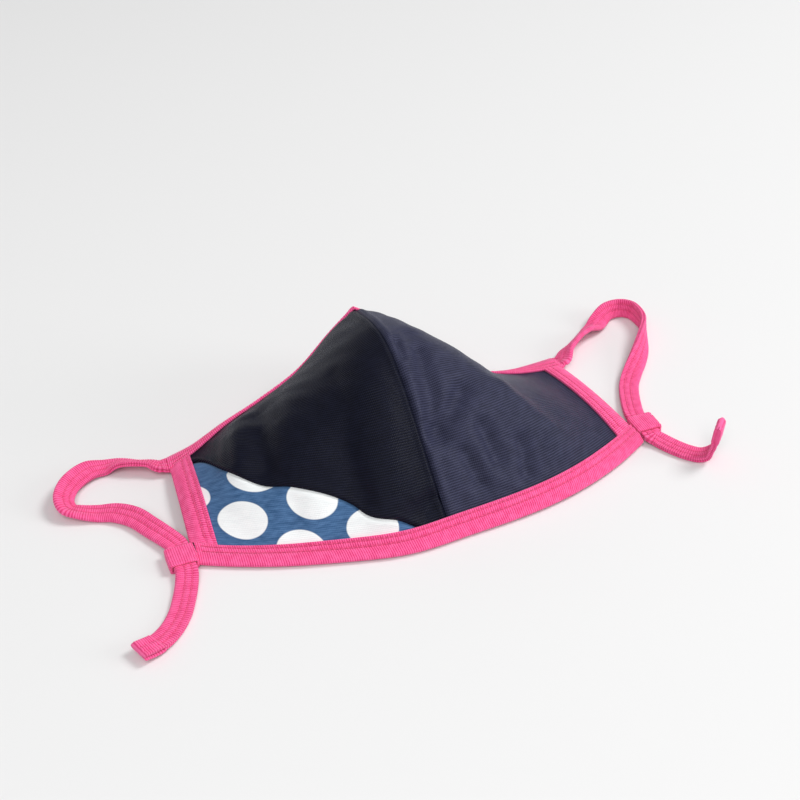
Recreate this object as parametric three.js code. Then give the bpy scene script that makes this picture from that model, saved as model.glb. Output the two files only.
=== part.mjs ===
// A cloth face mask lying on a table, as it keeps its form when it is put down.
// Two shaped halves meet at a ridge seam, and a dotted insert fills the lower left corner.
// Folded tape binds every edge. At each top corner the tape goes on as a flat ear strap,
// which runs round in a loop, through a keeper at the chin corner, and ends in a hemmed tail.
// Millimetres. +X is to the right, -Y towards the chin, +Z up, and the mask lies on Z = 0.
// While it is drawn, X = 0 is the ridge seam and Y = 0 the line through the two chin corners.

import * as THREE from "three";

// Body of the mask, lying as shown
const CHIN_WIDTH = 222.8;
const TOP_WIDTH = 205;
const SIDE_HEIGHT = 74;
const CHIN_SAG = 27.5;
const CHIN_BULGE = 2.5;
const NOSE_REACH = 31;
const NOSE_HEIGHT = 43;
const RIDGE_HEIGHT = 61;
const SEAM_BOW = 5;
const FLARE_DEPTH = 6;
const TURN_DEPTH = 8;
const TURN_SPAN = 16;
const FOLD_DEPTH = 2;
const FOLD_SPAN = 8;

// How softly the hollowed cloth comes to rest, as a share of its rise: 0 would leave a crease
const SETTLE = 0.4;

// Cloth and folded tape
const CLOTH = 1.2;
const TAPE = 1.0;
const TAPE_WIDTH = 11.5;
const HALF_RIM = 1.2;
const RIM_CHAMFER = 0.6;
const RIM_WALL = 1.3;
const CHANNEL_GAP = 0.35;
const CLOTH_TUCK = 3.5;
const JOIN_GAP = 0.3;
const FLOOR_PRESS = 0.2;

// Ear straps and their keepers
const STRAP_WIDTH = 10;
const STRAP_THICK = 2.4;
const STRAP_CHAMFER = 0.7;
const LEFT_LOOP_REACH = 50;
const RIGHT_LOOP_REACH = 64;
const LEFT_TAIL_REACH = 57;
const RIGHT_TAIL_REACH = 62;
const HEM_LENGTH = 9;
const HEM_SWELL = 1.5;
const KEEPER_LENGTH = 11.5;
const KEEPER_WALL = 1.1;
const KEEPER_CLEARANCE = 0.4;

// A strap runs on straight for KEEPER_LEAD either side of its keeper. It leaves the top corner in
// short steps, each with a share of the twist to the loop's first row.
const KEEPER_LEAD = 3;
const START_STEP = 2;
const START_TWIST = 0.25;

// The right strap is turned over between its loop and its keeper, in degrees
const RIGHT_TURN = 180;

// How finely the cloth is divided
const SPANS_ACROSS = 16;
const SPANS_UP = 20;
const INSERT_SPANS_UP = 11;
const EDGE_BUNCH = 0.45;
const LEVEL_STEP = 1;
const CURVE_SAMPLES = 240;
const STRAP_STEP = 4;
const SIDE_SPANS = 10;
const NORMAL_STEP = 0.004;

const HALF_CLOTH = CLOTH / 2;
const CHANNEL = HALF_CLOTH + CHANNEL_GAP;
const HALF_BINDING = CHANNEL + TAPE;
const EDGE_LIFT = HALF_BINDING - FLOOR_PRESS;
const SEAM_EDGE = JOIN_GAP / CHIN_WIDTH;

// How the two halves differ. side: -1 for the left; chinShare, topShare: share of each width;
// curve: how square the chin corner is; inset, front: from the chin corner in to the keeper, and
// back to the keeper's front
const LEFT_SIDE = { side: -1, chinShare: 0.503, topShare: 0.515, curve: 2.2, inset: 2.4, front: -1.3 };
const RIGHT_SIDE = { side: 1, chinShare: 0.497, topShare: 0.485, curve: 2.5, inset: 1, front: 4.5 };

// The chin edge bulges beside the seam: the middle of the bulge and its spread, as shares of CHIN_WIDTH
const BULGE_PLACE = -0.1;
const BULGE_SPAN = 0.107;

// A table's rows become objects with the named columns
const table = (columns, rows) =>
  rows.map((row) => Object.fromEntries(columns.map((name, i) => [name, row[i]])));

// Sections of each half, from the seam (across 0) to the side edge (across 1).
// flare: share of FLARE_DEPTH that the cloth is hollow beside the chin
// shoulder: where the section is highest, as a share of its depth
// height: share of the ridge's rise, and sharp: how tightly it bends there
// reach: share of NOSE_REACH, and nose: share of the nose's rise, at the top edge
// turn: share of TURN_DEPTH by which the cloth turns down beside the top edge
const SECTION_COLUMNS = ["across", "flare", "shoulder", "height", "sharp", "reach", "nose", "turn"];
const LEFT_SECTIONS = table(SECTION_COLUMNS, [
  [0.00, 0.90, 0.50, 1.00, 2.6, 1.00, 1.00, 0.45],
  [0.12, 1.05, 0.49, 0.93, 1.9, 0.93, 0.80, 1.00],
  [0.30, 1.15, 0.48, 0.73, 1.4, 0.76, 0.42, 0.75],
  [0.50, 1.30, 0.50, 0.56, 1.2, 0.56, 0.18, 0.20],
  [0.70, 1.25, 0.52, 0.35, 1.0, 0.36, 0.06, 0.00],
  [0.87, 0.80, 0.52, 0.15, 1.0, 0.15, 0.00, 0.00],
  [1.00, 0.00, 0.50, 0.05, 1.0, 0.00, 0.00, 0.00],
]);
const RIGHT_SECTIONS = table(SECTION_COLUMNS, [
  [0.00, 0.90, 0.50, 1.00, 2.6, 1.00, 1.00, 0.45],
  [0.12, 0.85, 0.50, 0.94, 1.9, 0.94, 0.84, 1.00],
  [0.30, 0.66, 0.50, 0.78, 1.4, 0.66, 0.38, 1.00],
  [0.50, 0.50, 0.46, 0.51, 1.2, 0.27, 0.07, 0.40],
  [0.70, 0.26, 0.45, 0.30, 1.0, 0.07, 0.00, 0.00],
  [0.87, 0.08, 0.45, 0.13, 1.0, 0.09, 0.00, 0.00],
  [1.00, 0.00, 0.50, 0.05, 1.0, 0.13, 0.00, 0.00],
]);

// Soft folds, each along a line from one place to another. across runs from seam to side edge,
// up from chin edge to top edge; depth is a share of FOLD_DEPTH, below 0 for a groove, and
// spread a share of FOLD_SPAN.
const FOLD_COLUMNS = ["fromAcross", "fromUp", "toAcross", "toUp", "depth", "spread"];
const LEFT_FOLDS = table(FOLD_COLUMNS, [
  [0.66, 0.76, 0.72, 0.50, 1.0, 1.0],
  [0.58, 0.72, 0.66, 0.36, -1.0, 0.9],
  [0.13, 0.45, 0.22, 0.12, 0.9, 1.6],
  [0.33, 0.36, 0.34, 0.17, -0.8, 0.9],
  [0.06, 0.13, 0.15, 0.10, -0.6, 0.6],
  [0.58, 0.23, 0.61, 0.12, -0.5, 0.7],
  [0.42, 0.17, 0.45, 0.11, -0.5, 0.6],
]);
const RIGHT_FOLDS = table(FOLD_COLUMNS, [
  [0.12, 0.62, 0.04, 0.30, -0.9, 0.6],
  [0.24, 0.41, 0.08, 0.29, -0.9, 0.8],
  [0.26, 0.29, 0.28, 0.18, -0.7, 0.7],
  [0.14, 0.23, 0.18, 0.13, -0.6, 0.6],
  [0.41, 0.23, 0.39, 0.12, -0.6, 0.7],
  [0.42, 0.42, 0.60, 0.22, 1.0, 1.2],
]);

// Upper edge of the dotted insert, as a share of the section's length above the chin edge
const INSERT_EDGE = table(["across", "up"], [
  [0.07, 0.030],
  [0.20, 0.100],
  [0.32, 0.140],
  [0.36, 0.175],
  [0.43, 0.220],
  [0.56, 0.290],
  [0.70, 0.380],
  [0.79, 0.530],
  [0.87, 0.750],
  [1.00, 0.840],
]);

// Straps from the top corner to the keeper. out: share of the loop's reach beyond the side edge;
// along: share of SIDE_HEIGHT above the chin corner; raise: share of STRAP_WIDTH above the height
// at which the tilted strap just rests; roll: degrees, with the strap's left edge up.
const LOOP_COLUMNS = ["out", "along", "raise", "roll"];
const LEFT_LOOP = table(LOOP_COLUMNS, [
  [0.17, 0.96, 0.03, 31],
  [0.29, 0.99, 0.03, 36],
  [0.44, 1.04, 0.05, 24],
  [0.58, 1.06, 0.10, 0],
  [0.72, 1.04, 0.12, -20],
  [0.85, 0.98, 0.12, -32],
  [0.95, 0.90, 0.12, -35],
  [1.00, 0.80, 0.10, -32],
  [0.97, 0.72, 0.06, -22],
  [0.86, 0.68, 0.04, -10],
  [0.73, 0.65, 0.03, 0],
  [0.57, 0.60, 0.02, 12],
  [0.42, 0.51, 0.02, 22],
  [0.30, 0.39, 0.04, 18],
]);
const RIGHT_LOOP = table(LOOP_COLUMNS, [
  [0.17, 1.06, 0.03, -42],
  [0.28, 1.12, 0.00, -56],
  [0.39, 1.18, 0.00, -56],
  [0.50, 1.23, 0.03, -44],
  [0.61, 1.28, 0.08, -12],
  [0.71, 1.34, 0.02, 30],
  [0.82, 1.39, 0.00, 58],
  [0.94, 1.39, 0.00, 68],
  [1.00, 1.34, 0.00, 74],
  [1.00, 1.25, 0.00, 80],
  [0.96, 1.14, 0.00, 92],
  [0.85, 1.01, 0.00, 112],
  [0.74, 0.90, 0.00, 134],
  [0.61, 0.79, 0.00, 154],
  [0.48, 0.69, 0.02, 170],
  [0.34, 0.56, 0.05, 180],
]);

// Tails beyond the keeper: out and ahead are shares of the tail's reach
const TAIL_COLUMNS = ["out", "ahead", "raise", "roll"];
const LEFT_TAIL = table(TAIL_COLUMNS, [
  [0.03, 0.15, 0.02, 0],
  [0.09, 0.30, 0.00, 0],
  [0.16, 0.44, 0.00, 0],
  [0.26, 0.57, 0.03, 0],
  [0.38, 0.67, 0.14, 0],
  [0.53, 0.73, 0.32, 0],
]);
const RIGHT_TAIL = table(TAIL_COLUMNS, [
  [0.03, 0.09, 0.06, 0],
  [0.09, 0.20, 0.02, 0],
  [0.16, 0.30, 0.00, 0],
  [0.23, 0.37, 0.04, 0],
  [0.28, 0.41, 0.30, 0],
  [0.30, 0.43, 0.85, 0],
  [0.305, 0.435, 1.45, 0],
  [0.31, 0.44, 2.10, 0],
]);

const PINK = { color: 0xe84882, roughness: 0.9, metalness: 0 };
const NAVY = { color: 0x14172a, roughness: 0.75, metalness: 0 };
const DOTTED_BLUE = { color: 0x3a659c, roughness: 0.85, metalness: 0 };

const mix = (a, b, t) => a + (b - a) * t;
const clamp = (x, low, high) => Math.min(Math.max(x, low), high);
const smooth = (t) => clamp(t, 0, 1) ** 2 * (3 - 2 * clamp(t, 0, 1));

// Every column of a table at a place between its rows, on a smooth curve through the rows
function between(rows, across) {
  const last = rows.length - 2;
  const i = clamp(rows.findLastIndex((row) => row.across <= across), 0, last);
  const span = rows[i + 1].across - rows[i].across;
  const t = (across - rows[i].across) / span;
  const slope = (name, k) => (rows[k + 1][name] - rows[k][name]) / (rows[k + 1].across - rows[k].across);
  const tangent = (name, k) => {
    if (k === 0) return slope(name, 0);
    if (k > last) return slope(name, last);
    return (slope(name, k - 1) + slope(name, k)) / 2;
  };
  const value = (name) =>
    (2 * t ** 3 - 3 * t ** 2 + 1) * rows[i][name] + (t ** 3 - 2 * t ** 2 + t) * span * tangent(name, i)
    + (3 * t ** 2 - 2 * t ** 3) * rows[i + 1][name] + (t ** 3 - t ** 2) * span * tangent(name, i + 1);
  return Object.fromEntries(Object.keys(rows[0]).map((name) => [name, value(name)]));
}

// The chin edge bows between the chin corners, and bulges beside the seam
function chinY({ side, chinShare, curve }, across) {
  const place = (side * chinShare * across - BULGE_PLACE) / BULGE_SPAN;
  return CHIN_SAG * (across ** curve - 1) - CHIN_BULGE * Math.exp(-(place ** 2));
}

// One section of a half from chin edge to top edge: a conic over its shoulder. It is hollowed near
// the chin and turned down near the top edge, never below the chin edge, and bows to the left
// beside the seam.
function makeSection(ways, rows, across) {
  const row = between(rows, across);
  const chin = new THREE.Vector3(CHIN_WIDTH * ways.chinShare * across, chinY(ways, across), EDGE_LIFT);
  const topX = TOP_WIDTH * ways.topShare * across;
  const top = new THREE.Vector3(topX, SIDE_HEIGHT + NOSE_REACH * row.reach, 0);
  top.z = mix(EDGE_LIFT, NOSE_HEIGHT, row.nose);
  const shoulder = chin.clone().lerp(top, row.shoulder);
  shoulder.x = (chin.x + top.x) / 2;
  shoulder.z = mix(EDGE_LIFT, RIDGE_HEIGHT, row.height);
  const weight = row.sharp;
  const control = shoulder.clone().multiplyScalar(2 + 2 * weight).sub(chin).sub(top).divideScalar(2 * weight);
  const points = [];
  for (let k = 0; k <= CURVE_SAMPLES; k++) {
    const t = k / CURVE_SAMPLES;
    const parts = [(1 - t) ** 2, 2 * t * (1 - t) * weight, t ** 2];
    const point = chin.clone().multiplyScalar(parts[0]).addScaledVector(control, parts[1]);
    points.push(point.addScaledVector(top, parts[2]).divideScalar(parts[0] + parts[1] + parts[2]));
  }
  const lengths = runningLengths(points);
  const length = lengths.at(-1);
  points.forEach((point, k) => {
    const z = lengths[k] / TAPE_WIDTH;
    const share = lengths[k] / length;
    const hollow = FLARE_DEPTH * row.flare * z * Math.exp(1 - z) * (1 - share);
    const turn = TURN_DEPTH * row.turn * (1 - smooth((length - lengths[k]) / TURN_SPAN));
    const rise = point.z - EDGE_LIFT;
    const left = rise - hollow - turn;
    point.z = EDGE_LIFT + (left + Math.hypot(left, SETTLE * rise)) / (1 + Math.hypot(1, SETTLE));
    point.x -= ways.side * SEAM_BOW * 4 * share * (1 - share) * (1 - across) ** 2;
  });
  return { points, lengths: runningLengths(points) };
}

function runningLengths(points) {
  const lengths = [0];
  for (let k = 1; k < points.length; k++) lengths.push(lengths[k - 1] + points[k].distanceTo(points[k - 1]));
  return lengths;
}

// The point a given length along a run of points, going on straight past its ends
function alongRun(points, lengths, distance) {
  let k = lengths.findLastIndex((length) => length <= distance);
  k = clamp(k, 0, points.length - 2);
  const t = (distance - lengths[k]) / (lengths[k + 1] - lengths[k]);
  return points[k].clone().lerp(points[k + 1], t);
}

// The folded tape's legs bend at these distances in from the edge, and so does the cloth inside
const TAPE_BENDS = [0, 0.25, 0.5, 0.75, 1].map((t) => mix(CLOTH_TUCK, TAPE_WIDTH, t));

// The middle surface of one half, with its stations: places across, shared by the cloth and its
// tape so that they run side by side. across runs from seam to side edge, and d is the length along
// the section from the chin edge.
function makeHalf(ways, rows, folds) {
  const { side } = ways;
  const chinHalf = CHIN_WIDTH * ways.chinShare;
  const topHalf = TOP_WIDTH * ways.topShare;
  const sections = new Map();
  const section = (across) => {
    const key = across.toFixed(6);
    if (!sections.has(key)) sections.set(key, makeSection(ways, rows, across));
    return sections.get(key);
  };
  const length = (across) => section(across).lengths.at(-1);
  const place = (across, d) => {
    const { points, lengths } = section(across);
    const point = alongRun(points, lengths, d);
    point.x *= side;
    return point;
  };
  const normal = (across, d) => {
    const low = Math.max(across - NORMAL_STEP, 0);
    const high = Math.min(across + NORMAL_STEP, 1);
    const share = d / length(across);
    const out = place(high, share * length(high)).sub(place(low, share * length(low)));
    const up = place(across, d + NORMAL_STEP).sub(place(across, d - NORMAL_STEP));
    const direction = out.cross(up).multiplyScalar(side).normalize();
    if (across > SEAM_EDGE) return direction;
    const flat = new THREE.Vector3(0, direction.y, direction.z).normalize();
    return flat.divideScalar(flat.dot(direction));
  };
  const foldHeight = (across, d) => {
    const full = length(across);
    const here = new THREE.Vector2(across * chinHalf, d);
    let height = 0;
    for (const fold of folds) {
      const from = new THREE.Vector2(fold.fromAcross * chinHalf, fold.fromUp * full);
      const run = new THREE.Vector2(fold.toAcross * chinHalf, fold.toUp * full).sub(from);
      const t = clamp(here.clone().sub(from).dot(run) / run.lengthSq(), 0, 1);
      const off = here.distanceTo(from.addScaledVector(run, t)) / (fold.spread * FOLD_SPAN);
      height += FOLD_DEPTH * fold.depth * Math.exp(-(off ** 2));
    }
    const inside = Math.min(d, full - d, (1 - across) * chinHalf) - TAPE_WIDTH;
    return height * smooth(inside / FOLD_SPAN);
  };
  const point = (across, d, offset) =>
    place(across, d).addScaledVector(normal(across, d), foldHeight(across, d) + offset);
  const inFromSide = (inset) => 1 - inset / chinHalf;
  const stations = [
    ...Array.from({ length: SPANS_ACROSS }, (_, k) => inFromSide(TAPE_WIDTH) * k / SPANS_ACROSS),
    ...TAPE_BENDS.toReversed().map(inFromSide),
  ];
  const sideX = (y) => mix(chinHalf, topHalf, y / SIDE_HEIGHT);
  const keeperX = chinHalf - ways.inset + JOIN_GAP + KEEPER_WALL + KEEPER_CLEARANCE + STRAP_WIDTH / 2;
  return { ...ways, length, point, inFromSide, stations, sideX, keeperX, slant: chinHalf - topHalf };
}

const LEFT = makeHalf(LEFT_SIDE, LEFT_SECTIONS, LEFT_FOLDS);
const RIGHT = makeHalf(RIGHT_SIDE, RIGHT_SECTIONS, RIGHT_FOLDS);

const rested = (point) => point.setZ(Math.max(point.z, 0));

// Levels of a panel between two lengths. They follow the tape's bends beside the chin and top
// edges, and lie closer together near both ends.
function clothLevels(low, high, spans, topTaped) {
  const above = TAPE_BENDS.map((bend, k) =>
    low > CLOTH_TUCK ? Math.max(bend, low + k * LEVEL_STEP) : Math.min(bend, mix(low, high, k / spans)));
  const below = topTaped ? TAPE_BENDS.map((bend) => high + CLOTH_TUCK - bend).reverse() : [high];
  const from = above.at(-1);
  const middle = spans + 2 - above.length - below.length;
  const inner = Array.from({ length: middle - 1 }, (_, k) => {
    const t = (k + 1) / middle;
    return mix(from, below[0], t - EDGE_BUNCH * Math.sin(2 * Math.PI * t) / (2 * Math.PI));
  });
  return [...above, ...inner, ...below];
}

// A closed mesh from points and triangles, with its faces turned outwards
function closedMesh(name, points, triangles, look) {
  let volume = 0;
  for (const [a, b, c] of triangles) volume += points[a].dot(points[b].clone().cross(points[c]));
  const faces = volume > 0 ? triangles : triangles.map(([a, b, c]) => [a, c, b]);
  const geometry = new THREE.BufferGeometry();
  geometry.setAttribute("position", new THREE.Float32BufferAttribute(points.flatMap((p) => p.toArray()), 3));
  geometry.setIndex(faces.flat());
  geometry.computeVertexNormals();
  const mesh = new THREE.Mesh(geometry, new THREE.MeshStandardMaterial(look));
  mesh.name = name;
  return mesh;
}

// Joins rings of the same number of points into a body, round on itself or closed by end caps
function ringBody(name, rings, look, { round = false } = {}) {
  const size = rings[0].length;
  const triangles = [];
  const steps = round ? rings.length : rings.length - 1;
  for (let i = 0; i < steps; i++) {
    const here = i * size;
    const next = (i + 1) % rings.length * size;
    for (let j = 0; j < size; j++) {
      const k = (j + 1) % size;
      triangles.push([here + j, next + j, next + k], [here + j, next + k, here + k]);
    }
  }
  if (!round) {
    const last = (rings.length - 1) * size;
    for (const [a, b, c] of capTriangles(rings[0])) triangles.push([a, b, c]);
    for (const [a, b, c] of capTriangles(rings.at(-1))) triangles.push([last + a, last + c, last + b]);
  }
  return closedMesh(name, rings.flat(), triangles, look);
}

// Triangles across a ring, turned to close the ring that starts a body
function capTriangles(ring) {
  const centre = new THREE.Vector3();
  ring.forEach((point) => centre.addScaledVector(point, 1 / ring.length));
  const axis = new THREE.Vector3();
  ring.forEach((point, k) => {
    const next = ring[(k + 1) % ring.length];
    axis.add(point.clone().sub(centre).cross(next.clone().sub(centre)));
  });
  axis.normalize();
  const u = ring[1].clone().sub(ring[0]).normalize();
  const v = axis.clone().cross(u).normalize();
  const outline = ring.map((point) => {
    const arm = point.clone().sub(centre);
    return new THREE.Vector2(arm.dot(u), arm.dot(v));
  });
  return THREE.ShapeUtils.triangulateShape(outline, []);
}

// A panel of cloth between two lengths at each station
function clothPanel(name, half, stations, levels, look) {
  const faces = [HALF_CLOTH, -HALF_CLOTH].map((offset) =>
    stations.map((across) => levels(across).map((d) => half.point(across, d, offset))));
  const size = faces[0][0].length;
  const rings = stations.map((_, i) => [...faces[0][i], ...faces[1][i].toReversed()]);
  return closedMesh(name, rings.flat(), panelTriangles(rings, size), look);
}

// A panel's rings are two rows of points back to back, so its end caps are strips of quads
function panelTriangles(rings, size) {
  const ring = rings[0].length;
  const triangles = [];
  const quad = (a, b, c, d) => triangles.push([a, b, c], [a, c, d]);
  for (let i = 0; i < rings.length - 1; i++) {
    for (let j = 0; j < ring; j++) {
      const k = (j + 1) % ring;
      quad(i * ring + j, (i + 1) * ring + j, (i + 1) * ring + k, i * ring + k);
    }
  }
  const last = (rings.length - 1) * ring;
  for (let j = 0; j < size - 1; j++) {
    quad(j, j + 1, ring - 2 - j, ring - 1 - j);
    quad(last + j, last + ring - 1 - j, last + ring - 2 - j, last + j + 1);
  }
  return triangles;
}

function rightPanel() {
  const stations = [SEAM_EDGE, ...RIGHT.stations.slice(1)];
  const levels = (across) => clothLevels(CLOTH_TUCK, RIGHT.length(across) - CLOTH_TUCK, SPANS_UP, true);
  return clothPanel("panel_right", RIGHT, stations, levels, NAVY);
}

const insertTop = (across) => between(INSERT_EDGE, across).up * LEFT.length(across);
const INSERT_TIP = INSERT_EDGE[0].across;

function leftPanel() {
  const stations = [SEAM_EDGE, ...LEFT.stations.slice(1)];
  const levels = (across) => {
    const low = across > INSERT_TIP ? insertTop(across) + JOIN_GAP / 2 : CLOTH_TUCK;
    return clothLevels(low, LEFT.length(across) - CLOTH_TUCK, SPANS_UP, true);
  };
  return clothPanel("panel_left", LEFT, stations, levels, NAVY);
}

function dottedInsert() {
  const stations = LEFT.stations.filter((across) => across > INSERT_TIP);
  const levels = (across) =>
    clothLevels(CLOTH_TUCK, insertTop(across) - JOIN_GAP / 2, INSERT_SPANS_UP, false);
  return clothPanel("panel_left_dots", LEFT, stations, levels, DOTTED_BLUE);
}

// The folded tape's outline: inset is how far in from the edge it binds, offset the height over the cloth
const TAPE_OUTLINE = [
  ...TAPE_BENDS.toReversed().map((inset) => [inset, HALF_BINDING]),
  [RIM_CHAMFER, HALF_RIM],
  [0, HALF_RIM - RIM_CHAMFER],
  [0, RIM_CHAMFER - HALF_RIM],
  [RIM_CHAMFER, -HALF_RIM],
  ...TAPE_BENDS.map((inset) => [inset, -HALF_BINDING]),
  ...TAPE_BENDS.toReversed().map((inset) => [inset, -CHANNEL]),
  [RIM_WALL, -CHANNEL_GAP],
  [RIM_WALL, CHANNEL_GAP],
  ...TAPE_BENDS.map((inset) => [inset, CHANNEL]),
];

// Tape along the chin or the top edge, from the left corner over the seam to the right corner
function edgeBinding(name, distance, endInset) {
  const places = (half) => {
    const end = half.inFromSide(endInset(half));
    const before = half.stations.filter((across) => across < end - NORMAL_STEP);
    return [...before, end].map((across) => [half, across]);
  };
  const rings = [...places(LEFT).slice(1).reverse(), ...places(RIGHT)].map(([half, across]) =>
    TAPE_OUTLINE.map(([inset, offset]) => rested(half.point(across, distance(half, across, inset), offset))));
  return ringBody(name, rings, PINK);
}

// Tape along a side edge, between the chin tape and the top tape
function sideBinding(name, half) {
  const margin = TAPE_WIDTH + JOIN_GAP;
  const rings = Array.from({ length: SIDE_SPANS + 1 }, (_, k) =>
    TAPE_OUTLINE.map(([inset, offset]) => {
      const across = half.inFromSide(inset);
      const d = mix(margin, half.length(across) - margin, k / SIDE_SPANS);
      return rested(half.point(across, d, offset));
    }));
  return ringBody(name, rings, PINK);
}

// The strap runs through its keeper along -Y, at this height
const KEEPER_Z = KEEPER_WALL + KEEPER_CLEARANCE + STRAP_THICK / 2;

// A strap's route, with the height of its middle line and its roll at each point
function strapRoute(half, loop, loopReach, tail, tailReach, turned) {
  const corner = half.point(1, half.length(1) - TAPE_WIDTH / 2, 0);
  const place = (x, y, z, roll) => ({ point: new THREE.Vector3(half.side * x, y, z), roll });
  const resting = (roll) => {
    const tilt = THREE.MathUtils.degToRad(roll);
    return STRAP_WIDTH / 2 * Math.abs(Math.sin(tilt)) + STRAP_THICK / 2 * Math.abs(Math.cos(tilt));
  };
  const height = (row) => resting(row.roll) + row.raise * STRAP_WIDTH;
  const outward = new THREE.Vector2(SIDE_HEIGHT, half.slant).normalize();
  const tapeRise = half.point(1, half.length(1) - TAPE_WIDTH, 0).z - half.point(1, half.length(1), 0).z;
  const lean = -half.side * THREE.MathUtils.radToDeg(Math.asin(tapeRise / TAPE_WIDTH));
  const start = [0, 1, 2].map((k) => {
    const out = JOIN_GAP + k * START_STEP;
    const roll = mix(lean, loop[0].roll, k * START_TWIST);
    const z = Math.max(corner.z, resting(roll));
    return place(Math.abs(corner.x) + outward.x * out, corner.y + outward.y * out, z, roll);
  });
  const round = loop.map((row) => {
    const y = row.along * SIDE_HEIGHT;
    return place(half.sideX(y) + row.out * loopReach, y, height(row), row.roll);
  });
  const front = half.front;
  const back = front + KEEPER_LENGTH;
  const keeper = [back + KEEPER_LEAD, back, front, front - KEEPER_LEAD]
    .map((y) => place(half.keeperX, y, KEEPER_Z, turned));
  const end = tail.map((row) =>
    place(half.keeperX + row.out * tailReach, front - row.ahead * tailReach, height(row), turned + row.roll));
  return [...start, ...round, ...keeper, ...end];
}

// A flat strap swept along its route, with the hem's double thickness at its free end
function earStrap(name, half, ...shape) {
  const route = strapRoute(half, ...shape);
  const curve = new THREE.CatmullRomCurve3(route.map((stop) => stop.point), false, "centripetal");
  const length = curve.getLength();
  const steps = Math.round(length / STRAP_STEP);
  const rings = Array.from({ length: steps + 1 }, (_, k) => {
    const t = curve.getUtoTmapping(k / steps);
    const centre = curve.getPoint(t);
    const ahead = curve.getTangent(t);
    const stop = clamp(Math.floor(t * (route.length - 1)), 0, route.length - 2);
    const roll = mix(route[stop].roll, route[stop + 1].roll, t * (route.length - 1) - stop);
    const wide = new THREE.Vector3(-ahead.y, ahead.x, 0).normalize();
    wide.applyAxisAngle(ahead, THREE.MathUtils.degToRad(roll));
    const thick = ahead.clone().cross(wide).normalize();
    const toEnd = length * (1 - k / steps);
    const swell = mix(HEM_SWELL, 1, smooth((toEnd - HEM_LENGTH) / STRAP_STEP));
    const halfWidth = STRAP_WIDTH / 2;
    const halfThick = STRAP_THICK / 2 * swell;
    const corners = [[halfWidth, halfThick - STRAP_CHAMFER], [halfWidth - STRAP_CHAMFER, halfThick]];
    const quarter = (a, b) => corners.map(([w, h]) => [a * w, b * h]);
    const outline = [...quarter(1, 1), ...quarter(-1, 1).reverse(), ...quarter(-1, -1),
      ...quarter(1, -1).reverse()];
    return outline.map(([w, h]) => rested(centre.clone().addScaledVector(wide, w).addScaledVector(thick, h)));
  });
  return ringBody(name, rings, PINK);
}

// A short flat tube of tape round the strap
function strapKeeper(name, half) {
  const outline = (halfWide, low, high) => {
    const cut = KEEPER_WALL;
    return [[halfWide, low + cut], [halfWide, high - cut], [halfWide - cut, high], [cut - halfWide, high],
      [-halfWide, high - cut], [-halfWide, low + cut], [cut - halfWide, low], [halfWide - cut, low]];
  };
  const inner = outline(STRAP_WIDTH / 2 + KEEPER_CLEARANCE, KEEPER_WALL,
    KEEPER_WALL + STRAP_THICK + 2 * KEEPER_CLEARANCE);
  const outer = outline(STRAP_WIDTH / 2 + KEEPER_CLEARANCE + KEEPER_WALL, 0,
    2 * KEEPER_WALL + STRAP_THICK + 2 * KEEPER_CLEARANCE);
  const rings = outer.map(([ox, oz], k) => {
    const [ix, iz] = inner[k];
    const front = half.front;
    const back = front + KEEPER_LENGTH;
    const at = (x, y, z) => new THREE.Vector3(half.side * half.keeperX + x, y, z);
    return [at(ox, front, oz), at(ox, back, oz), at(ix, back, iz), at(ix, front, iz)];
  });
  return ringBody(name, rings, PINK, { round: true });
}

const mask = new THREE.Group();
mask.add(
  leftPanel(),
  rightPanel(),
  dottedInsert(),
  edgeBinding("chin_binding", (half, across, inset) => inset, (half) => half.inset),
  edgeBinding("top_binding", (half, across, inset) => half.length(across) - inset, () => 0),
  sideBinding("side_binding_left", LEFT),
  sideBinding("side_binding_right", RIGHT),
  earStrap("ear_strap_left", LEFT, LEFT_LOOP, LEFT_LOOP_REACH, LEFT_TAIL, LEFT_TAIL_REACH, 0),
  earStrap("ear_strap_right", RIGHT, RIGHT_LOOP, RIGHT_LOOP_REACH, RIGHT_TAIL, RIGHT_TAIL_REACH, RIGHT_TURN),
  strapKeeper("strap_keeper_left", LEFT),
  strapKeeper("strap_keeper_right", RIGHT),
);

// The origin goes to the middle of the underside of the whole mask
const bounds = new THREE.Box3().setFromObject(mask);
const centre = bounds.getCenter(new THREE.Vector3());
mask.position.set(-centre.x, -centre.y, -bounds.min.z);

export default mask;
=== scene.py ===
"""Dresses the cloth face mask: fine knit cloth, ribbed folded tape, ear straps and their stitching."""
import math
import bpy
import numpy as np
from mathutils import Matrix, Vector


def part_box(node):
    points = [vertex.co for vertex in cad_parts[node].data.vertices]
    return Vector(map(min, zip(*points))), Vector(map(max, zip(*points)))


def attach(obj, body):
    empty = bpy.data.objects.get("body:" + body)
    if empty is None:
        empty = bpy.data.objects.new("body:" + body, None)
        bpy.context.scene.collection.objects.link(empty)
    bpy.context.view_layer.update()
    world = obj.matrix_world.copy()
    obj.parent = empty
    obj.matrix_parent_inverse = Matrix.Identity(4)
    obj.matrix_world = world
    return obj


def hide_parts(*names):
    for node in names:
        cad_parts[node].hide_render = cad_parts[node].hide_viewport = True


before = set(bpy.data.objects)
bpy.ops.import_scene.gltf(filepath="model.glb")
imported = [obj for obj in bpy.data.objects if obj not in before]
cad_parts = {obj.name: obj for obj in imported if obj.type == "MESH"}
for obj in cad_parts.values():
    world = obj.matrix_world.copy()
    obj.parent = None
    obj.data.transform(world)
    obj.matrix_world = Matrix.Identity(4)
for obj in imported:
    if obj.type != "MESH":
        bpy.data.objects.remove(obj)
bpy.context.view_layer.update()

# Millimetres, in the frame in which the mask is drawn: X = 0 is the ridge seam, Y = 0 the line
# through the chin corners, and the mask lies on Z = 0
CHIN_WIDTH = 222.8
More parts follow.
